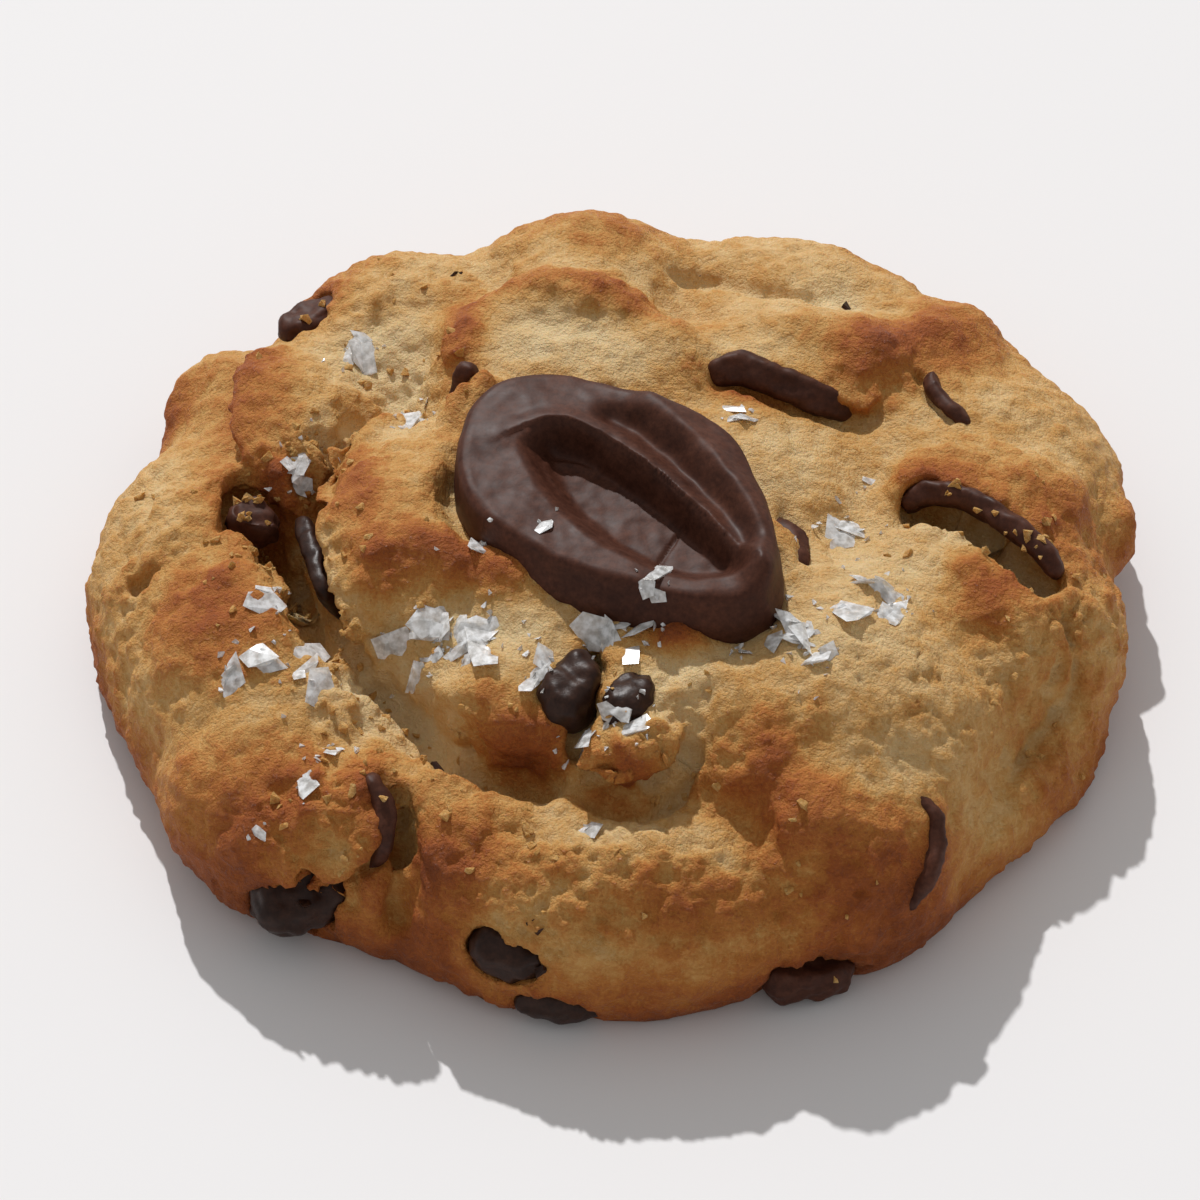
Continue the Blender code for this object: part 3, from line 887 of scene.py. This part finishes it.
def pod_disc(name):
    disc_low, disc_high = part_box("chocolate_disc")
    centre = (Vector(disc_low) + Vector(disc_high)) / 2 / MM
    curve = curve_through(DISC_OUTLINE + DISC_OUTLINE[:1], 12)[:-1]
    middle = np.array(DISC_MIDDLE)
    angles = np.arctan2(curve[:, 1] - middle[1], curve[:, 0] - middle[0])
    order = np.argsort(angles)
    around = np.linspace(-math.pi, math.pi, DISC_ROUNDS, endpoint=False)
    reach = np.hypot(curve[:, 0] - middle[0], curve[:, 1] - middle[1])
    radius = np.interp(around, angles[order], reach[order], period=2 * math.pi)
    direction = np.column_stack([np.cos(around), np.sin(around)])
    bulge = 0.3 + 1.2 * np.clip(np.cos(around + math.radians(50)), 0, 1) ** 1.5
    rings = [(share, 0.0, 0.0) for share in np.linspace(0.02, 0.93, DISC_RINGS)]
    points = []
    for share, out, below in rings + list(RIM_RINGS):
        wide = radius * share + bulge * out
        flat = middle + direction * wide[:, None]
        top = disc_height(np.column_stack([flat, np.zeros(len(flat))]))
        blend = 1.0 - smoothstep(below / 2.0)
        points.append(np.column_stack([flat, DISC_TOP + top * blend - below]))
    points = np.vstack(points)
    turn = math.radians(DISC_TURN)
    x = points[:, 0] * math.cos(turn) - points[:, 1] * math.sin(turn) + centre.x
    y = points[:, 0] * math.sin(turn) + points[:, 1] * math.cos(turn) + centre.y
    places = np.column_stack([x, y, points[:, 2]])
    places[:, 2] += 0.16 * noise_at(places, 4.0, 91) + 0.05 * noise_at(places, 1.2, 92)
    places[:, :2] += 0.10 * np.column_stack([noise_at(places, 2.5, 93), noise_at(places, 2.5, 94)])
    return closed_rings(name, places, DISC_ROUNDS)


disc = pod_disc("disc_of_chocolate")
disc.data.shade_smooth()
disc.data.materials.append(matt_chocolate)
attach(disc, BODY)
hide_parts("chocolate_disc")
print("disc:", len(disc.data.polygons), "faces")

# %% [markdown]
# ### Wafers on edge
# Most pieces are the same flat wafers, buried so deep that only an arc of their rim shows. Such a piece is
# swept along that arc: a rounded section that stands out of the dough a little and reaches down into it.

# %% Wafers
WAFERS = {
    # path of the rim, way out of the dough, thickness, height shown, depth hidden
    "chocolate_mouth": (((23.8, 2.4, 16.5), (26.0, 3.5, 17.1), (29.2, 2.4, 17.6), (32.4, -0.2, 17.5),
                         (35.2, -2.9, 17.0), (36.8, -5.2, 16.2)), (-0.15, -0.62, 0.77), 2.0, 1.0, 4.0),
    "chocolate_back_right": (((7.8, 14.9, 19.2), (10.4, 16.1, 19.0), (13.2, 15.2, 18.7), (16.6, 13.9, 18.0),
                              (20.2, 12.8, 17.0)), (-0.1, -0.68, 0.72), 2.9, 0.9, 4.0),
    "chocolate_right_sliver": (((26.4, 17.2, 17.6), (27.4, 14.3, 17.6), (29.5, 11.0, 17.6)),
                               (-0.45, -0.25, 0.86), 1.4, 0.4, 3.0),
    "chocolate_wedge": (((-14.0, 14.2, 18.4), (-11.4, 13.2, 19.0)), (0.0, 0.15, 0.98), 1.4, 3.0, 3.0),
    "chocolate_under_disc": (((12.6, 0.2, 17.6), (14.8, -2.6, 17.6), (15.2, -6.6, 18.4)),
                             (0.5, -0.2, 0.84), 1.8, 1.0, 3.5),
    "chocolate_front_right": (((24.4, -27.0, 14.9), (26.0, -29.3, 13.4), (25.8, -32.1, 11.4),
                               (24.0, -34.8, 8.4)), (0.75, -0.6, 0.3), 1.3, 0.2, 3.0),
    "chocolate_left_sliver": (((-20.0, -25.4, 15.4), (-18.6, -28.1, 14.1), (-18.4, -31.2, 12.0)),
                              (0.25, -0.15, 0.95), 1.6, 0.6, 3.5),
    "chocolate_crevice_curl": (((-26.8, 3.6, 14.8), (-25.4, -1.6, 15.4), (-24.3, -6.8, 16.0)),
                               (-0.35, -0.1, 0.93), 1.7, 0.4, 3.5),
}
WAFER_STEPS = 14
CHIP_GRAIN = 0.28
SECTION_SIDES = 28
SQUARENESS = 0.35
END_DROP = 1.2


def wafer(node, path, way, thickness, shown, hidden, seed):
    """A rounded plate on edge along a path, as one closed mesh."""
    curve = curve_through(path, WAFER_STEPS)
    way = np.array(way) / np.linalg.norm(way)
    along = np.gradient(curve, axis=0)
    side = np.cross(along, way)
    side /= np.linalg.norm(side, axis=1)[:, None]
    share = np.linspace(-1, 1, len(curve))
    taper = (1 - share**4) ** 0.5
    loops = []
    for step in range(SECTION_SIDES):
        angle = 2 * math.pi * step / SECTION_SIDES
        # A superellipse: flat faces with a rounded rim.
        across = np.sign(math.cos(angle)) * abs(math.cos(angle)) ** SQUARENESS * thickness / 2
        up = np.sign(math.sin(angle)) * abs(math.sin(angle)) ** SQUARENESS
        height = up * (shown + hidden) / 2 + (shown - hidden) / 2
        sag = (1 - taper) * (shown + END_DROP)
        wide = across * (0.35 + 0.65 * taper)
        loops.append(curve + side * wide[:, None] + way * (height - sag)[:, None])
    places = np.stack(loops, axis=1).reshape(-1, 3)
    places += 0.16 * np.column_stack([noise_at(places, 1.8, seed + axis) for axis in range(3)])
    piece = closed_rings("wafer_" + node, places, SECTION_SIDES)
    with_modifier(piece, "REMESH", mode="VOXEL", voxel_size=CHIP_GRAIN * MM)
    points = relaxed(points_of(piece.data), edges_of(piece.data), 1)
    set_points(piece.data, points)
    points += normals_of(piece.data) * (0.08 * noise_at(points, 0.8, seed + 7))[:, None]
    set_points(piece.data, points)
    return piece


print("wafers:", len(WAFERS))

# %% [markdown]
# ### The other pieces of chocolate
# Each other piece in the frame keeps its shape. Its copy is remeshed, grown by the gap that the frame
# leaves round it, and worn, so that it is bedded in the dough with an uneven edge. A few are drawn in
# instead, because the dough covers more of them.

# %% Worn chips
CHIP_GAP = 0.30
SHRUNK = {"chocolate_right_edge": 1.2, "chocolate_front_base": 0.5, "chocolate_back_left": 0.4,
          "chocolate_crevice": 0.7, "chocolate_centre_right": 0.3}
GLOSSY = ("chocolate_corner", "chocolate_crevice_curl", "chocolate_centre_left",
          "chocolate_centre_right", "chocolate_front_slit", "chocolate_front_low")


def worn_chip(node, seed):
    piece = new_object("worn_" + node, mesh_from(welded_copy(node), "worn_" + node))
    with_modifier(piece, "REMESH", mode="VOXEL", voxel_size=CHIP_GRAIN * MM)
    edges = edges_of(piece.data)
    points = relaxed(points_of(piece.data), edges, 2)
    set_points(piece.data, points)
    outward = normals_of(piece.data)
    wear = CHIP_GAP + 0.26 * noise_at(points, 2.4, seed) + 0.18 * noise_at(points, 1.1, seed + 1)
    wear -= SHRUNK.get(node, 0.0)
    set_points(piece.data, points + outward * wear[:, None])
    return piece


def dress_chip(piece, node):
    piece.data.shade_smooth()
    piece.data.materials.append(glossy_chocolate if node in GLOSSY else matt_chocolate)
    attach(piece, BODY)
    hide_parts(node)


chips = {}
for index, node in enumerate(sorted(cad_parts)):
    if node in ("dough", "chocolate_disc"):
        continue
    seed = 200 + 10 * index
    chips[node] = wafer(node, *WAFERS[node], seed) if node in WAFERS else worn_chip(node, seed)
    dress_chip(chips[node], node)
print("chips:", len(chips))

# %% [markdown]
# ## Loose bits
# Flaky salt lies where a hand dropped it, crumbs cling to the torn places, and a few specks of chocolate
# show. Every kind is a few small meshes, scattered by one Geometry Nodes tree over points that are
# dropped on the cookie from above.

# %% Drop points on the cookie
DROP_HEIGHT = 60.0
FLOOR_HEIGHT = 0.6
solids = [dough, disc] + list(chips.values())


def surface_tree(things):
    verts = []
    faces = []
    for thing in things:
        start = len(verts)
        verts += [vertex.co / MM for vertex in thing.data.vertices]
        faces += [[start + index for index in face.vertices] for face in thing.data.polygons]
    return BVHTree.FromPolygons(verts, faces)


landing = surface_tree(solids)


def dropped(clusters, seed):
    """Points on the cookie, with the outward direction there, for (x, y, spread, count) clusters."""
    random = np.random.default_rng(seed)
    places = []
    ways = []
    for x, y, spread, count in clusters:
        for _ in range(count):
            flat = (x, y) + random.normal(0, spread, 2)
            start = Vector((flat[0], flat[1], DROP_HEIGHT))
            hit, way, _index, _distance = landing.ray_cast(start, Vector((0, 0, -1)))
            if hit is not None and hit.z > FLOOR_HEIGHT:
                places.append(hit)
                ways.append(way)
    return places, ways


def point_cloud(name, places, ways):
    mesh = bpy.data.meshes.new(name)
    mesh.from_pydata([tuple(place * MM) for place in places], [], [])
    attribute = mesh.attributes.new("way", "FLOAT_VECTOR", "POINT")
    attribute.data.foreach_set("vector", np.array(ways, np.float32).ravel())
    return new_object(name, mesh)


print("solids to land on:", len(solids))

# %% [markdown]
# Each point gets a bit from the collection, stood on the surface, turned and tilted at random, sized
# between two limits and sunk a little. The instances are then made real, and the finish is set on them.


# %% One tree that scatters
def scatter_tree():
    tree = bpy.data.node_groups.new("scatter_bits", "GeometryNodeTree")
    face = tree.interface
    face.new_socket("Geometry", in_out="OUTPUT", socket_type="NodeSocketGeometry")
    face.new_socket("Geometry", in_out="INPUT", socket_type="NodeSocketGeometry")
    face.new_socket("Bits", in_out="INPUT", socket_type="NodeSocketCollection")
    for name in ("Smallest", "Largest", "Tilt", "Sink"):
        face.new_socket(name, in_out="INPUT", socket_type="NodeSocketFloat")
    face.new_socket("Seed", in_out="INPUT", socket_type="NodeSocketInt")
    face.new_socket("Material", in_out="INPUT", socket_type="NodeSocketMaterial")
    given = add(tree, "NodeGroupInput").outputs
    way = add(tree, "GeometryNodeInputNamedAttribute", inputs={"Name": "way"}, data_type="FLOAT_VECTOR")
    upright = add(tree, "FunctionNodeAlignRotationToVector", {"Vector": way.outputs["Attribute"]}, axis="Z")
    backwards = add(tree, "ShaderNodeMath", {0: given["Tilt"]}, {1: -1.0}, operation="MULTIPLY")
    lean = add(tree, "ShaderNodeCombineXYZ", {"X": given["Tilt"], "Y": given["Tilt"]}, {"Z": math.pi})
    low = add(tree, "ShaderNodeCombineXYZ", {"X": backwards.outputs[0], "Y": backwards.outputs[0]},
              {"Z": -math.pi})
    angles = add(tree, "FunctionNodeRandomValue",
                 {"Min": low.outputs[0], "Max": lean.outputs[0], "Seed": given["Seed"]},
                 data_type="FLOAT_VECTOR")
    spin = add(tree, "FunctionNodeEulerToRotation", {"Euler": angles.outputs["Value"]})
    turned = add(tree, "FunctionNodeRotateRotation",
                 {"Rotation": upright.outputs["Rotation"], "Rotate By": spin.outputs["Rotation"]},
                 rotation_space="LOCAL")
    size = add(tree, "FunctionNodeRandomValue",
               {"Min": given["Smallest"], "Max": given["Largest"], "Seed": given["Seed"]},
               data_type="FLOAT")
    drop = add(tree, "ShaderNodeVectorMath", {0: way.outputs["Attribute"], "Scale": given["Sink"]},
               operation="SCALE")
    sunk = add(tree, "GeometryNodeSetPosition", {"Geometry": given["Geometry"], "Offset": drop.outputs[0]})
    kinds = add(tree, "GeometryNodeCollectionInfo", {"Collection": given["Bits"]},
                {"Separate Children": True, "Reset Children": True})
    placed = add(tree, "GeometryNodeInstanceOnPoints",
                 {"Points": sunk.outputs[0], "Instance": kinds.outputs[0], "Rotation": turned.outputs[0],
                  "Scale": size.outputs["Value"]},
                 {"Pick Instance": True})
    real = add(tree, "GeometryNodeRealizeInstances", {"Geometry": placed.outputs[0]})
    dressed = add(tree, "GeometryNodeSetMaterial",
                  {"Geometry": real.outputs[0], "Material": given["Material"]})
    add(tree, "NodeGroupOutput", {"Geometry": dressed.outputs[0]})
    return tree


scatter = scatter_tree()


def scattered(name, points, bits, material, slot, **values):
    """Run the tree over the points and keep the result as one plain piece."""
    thing = point_cloud(name, *points)
    modifier = thing.modifiers.new("scatter", "NODES")
    modifier.node_group = scatter
    wanted = dict(values, Bits=bits, Material=material)
    for item in scatter.interface.items_tree:
        if item.in_out == "INPUT" and item.name in wanted:
            modifier[item.identifier] = wanted[item.name]
    graph = bpy.context.evaluated_depsgraph_get()
    mesh = bpy.data.meshes.new_from_object(thing.evaluated_get(graph))
    thing.modifiers.clear()
    thing.data = mesh
    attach(thing, BODY)
    print(name + ":", len(mesh.polygons), "faces")
    return thing


# %% [markdown]
# Flaky sea salt grows as thin, flat-sided plates and hollow pyramids, which break into splinters. A flake
# is the convex hull of a few seeded corners, flattened. A crumb is such a hull left round.


# %% Shapes of the bits
def hull_bits(name, count, corners, thickness, seed):
    """A collection of small irregular solids, about 1 mm across."""
    random = np.random.default_rng(seed)
    collection = bpy.data.collections.new(name)
    for index in range(count):
        bm = bmesh.new()
        for _ in range(corners):
            corner = random.uniform(-0.5, 0.5, 3) * (1.0, random.uniform(0.6, 1.0), thickness)
            bm.verts.new(corner * MM)
        result = bmesh.ops.convex_hull(bm, input=bm.verts)
        loose = [item for item in result["geom_interior"] if isinstance(item, bmesh.types.BMVert)]
        bmesh.ops.delete(bm, geom=loose, context="VERTS")
        bmesh.ops.recalc_face_normals(bm, faces=bm.faces[:])
        mesh = mesh_from(bm, name + str(index))
        collection.objects.link(bpy.data.objects.new(name + str(index), mesh))
    return collection


flakes = hull_bits("salt_flake", 9, 9, 0.16, 11)
grains = hull_bits("salt_grain", 5, 8, 0.6, 12)
crumbs = hull_bits("crumb", 6, 12, 0.8, 13)

# %% [markdown]
# Salt is a clear crystal with the refraction of rock salt, clouded where it is full of tiny cracks, so
# it is part see-through. Crumbs have the finish of the crust, browned the same all over.


# %% Finishes of the bits
def sea_salt():
    """Clear crystals clouded by tiny cracks: bright edges, part see-through."""
    material, tree, shader = new_material("flaky_sea_salt")
    place = add(tree, "ShaderNodeTexCoord").outputs["Object"]
    cloud = add(tree, "ShaderNodeTexNoise", {"Vector": place}, {"Scale": 1 / (0.7 * MM), "Detail": 3.0})
    colour = ramp(tree, cloud.outputs["Fac"], ((0.3, "f6f3ee"), (0.6, "ffffff")))
    tree.links.new(colour.outputs["Color"], shader.inputs["Base Color"])
    clear = add(tree, "ShaderNodeMapRange", {"Value": cloud.outputs["Fac"]},
                {"From Min": 0.35, "From Max": 0.65, "To Min": 0.65, "To Max": 0.25})
    tree.links.new(clear.outputs["Result"], shader.inputs["Transmission Weight"])
    shader.inputs["Roughness"].default_value = 0.22
    shader.inputs["IOR"].default_value = 1.54
    return material


salt = sea_salt()
crumb_finish = baked_dough("baked_dough_crumb", CRUST, 0.42)
print("finishes:", salt.name + ",", crumb_finish.name)

# %% [markdown]
# The flakes fall in pinches on the left, in front of the disc and on the right, with broken grains round
# them. Crumbs lie in the torn places, and most of all in the split behind the right wafer's edge and
# along the deep crevice.

# %% Scatter
SALT_FLAKES = (
    # x, y, spread, count
    (-22.3, 21.2, 0.7, 4), (-17.7, 13.8, 0.9, 5), (-26.4, 7.8, 0.8, 5),
    (-28.0, -8.0, 1.3, 5), (-26.4, -13.6, 1.4, 6), (-30.9, -15.5, 0.6, 2),
    (-24.2, -25.6, 0.7, 3), (-23.0, -22.3, 0.6, 2),
    (-15.0, -13.9, 1.0, 9), (-11.2, -14.4, 1.3, 10), (-6.5, -18.4, 0.7, 4), (-18.3, -12.6, 0.4, 2),
    (-0.4, -15.2, 1.0, 5), (2.2, -13.6, 0.7, 4),
    (14.6, -15.0, 1.1, 6), (15.8, -17.6, 1.0, 5), (9.6, -16.7, 0.4, 1),
    (18.8, -1.0, 1.0, 5), (21.2, -9.2, 0.8, 4), (22.8, -11.6, 0.8, 3), (18.6, -12.6, 0.6, 2),
    (10.6, 10.6, 0.5, 3), (-11.1, -6.9, 0.3, 1), (-5.4, -6.6, 0.3, 1), (21.1, 5.0, 0.3, 1),
    (-2.1, -30.7, 0.3, 1), (-28.5, -29.6, 0.4, 1), (-2.0, -23.4, 0.8, 4), (0.4, -24.0, 0.8, 4),
)
SALT_GRAINS = tuple((x, y, spread * 2.0, 2 * count) for x, y, spread, count in SALT_FLAKES)
MOUTH_CRUMBS = ((27.5, 1.2, 0.7, 22), (30.5, -0.9, 0.8, 30), (33.5, -3.4, 0.8, 30))
CREVICE_CRUMBS = (
    (-30.5, 5.0, 1.0, 24), (-28.5, -1.5, 1.0, 26), (-25.5, -8.0, 1.2, 26), (-22.5, -12.5, 1.2, 20),
)
MOST_CRUMBS = 26
CRUMB_FALLS = tuple(
    (x, y, 0.5 * max(radii), int(MOST_CRUMBS * strength)) for (x, y), radii, _turn, strength in CRUMBLY
)
CRUMB_FALLS += MOUTH_CRUMBS + CREVICE_CRUMBS
CHOCOLATE_SPECKS = (
    (-14.1, 29.7, 0.25, 3), (-8.8, 29.1, 0.1, 1), (7.4, 30.5, 0.2, 1), (20.2, 26.0, 0.1, 1),
    (-14.6, -23.1, 0.3, 2), (-14.2, -24.9, 0.3, 1), (-6.5, -37.4, 1.2, 6), (-24.5, -31.6, 1.0, 2),
    (-13.0, 15.0, 0.3, 2),
)
scattered("chocolate_specks", dropped(CHOCOLATE_SPECKS, 30), grains, glossy_chocolate, "dark_chocolate",
          Smallest=0.9, Largest=2.0, Tilt=0.6, Sink=-0.25 * MM, Seed=2)
scattered("salt_flakes", dropped(SALT_FLAKES, 31), flakes, salt, "baked_dough",
          Smallest=1.6, Largest=4.2, Tilt=0.3, Sink=0.1 * MM, Seed=3)
scattered("salt_grains", dropped(SALT_GRAINS, 32), grains, salt, "baked_dough",
          Smallest=0.35, Largest=0.9, Tilt=3.0, Sink=0.05 * MM, Seed=4)
scattered("dough_crumbs", dropped(CRUMB_FALLS, 33), crumbs, crumb_finish, "baked_dough",
          Smallest=0.4, Largest=1.3, Tilt=3.0, Sink=0.0, Seed=5)

# %% [markdown]
# The dough was needed whole until now. It takes the place of the frame's dough.

# %% Hand the dough over
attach(dough, BODY)
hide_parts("dough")
print("dough handed over:", dough.name)

# %% [markdown]
# ## Floor and light
# A plain pale floor of matt white paper.

# %% Floor
FLOOR_WIDTH = 6.0
bpy.ops.mesh.primitive_plane_add(size=FLOOR_WIDTH)
floor = bpy.context.object
floor.name = "floor"
material, tree, shader = new_material("matt_white_paper")
shader.inputs["Base Color"].default_value = linear("eeecec")
shader.inputs["Roughness"].default_value = 0.7
floor.data.materials.append(material)
print("floor:", FLOOR_WIDTH, "m wide")

# %% [markdown]
# One white sun from behind and a little to the left, small enough for crisp shadows, and a white sky as
# fill.

# %% Light
SUN_WAY = (0.18, -0.78, -0.70)
SUN_WIDTH = 1.2
SUN_STRENGTH = 2.75
SKY_STRENGTH = 0.41

lamp = bpy.data.lights.new("sun", "SUN")
lamp.energy = SUN_STRENGTH
lamp.angle = math.radians(SUN_WIDTH)
sun = bpy.data.objects.new("sun", lamp)
sun.rotation_euler = Vector(SUN_WAY).to_track_quat("-Z", "Y").to_euler()
bpy.context.scene.collection.objects.link(sun)
world = bpy.data.worlds.new("sky")
world.use_nodes = True
sky = world.node_tree.nodes["Background"]
sky.inputs["Color"].default_value = (1.0, 1.0, 1.0, 1.0)
sky.inputs["Strength"].default_value = SKY_STRENGTH
bpy.context.scene.world = world
bpy.context.scene.view_settings.view_transform = "Standard"
height = math.degrees(math.asin(-SUN_WAY[2] / Vector(SUN_WAY).length))
print("sun:", round(height), "degrees over the floor")
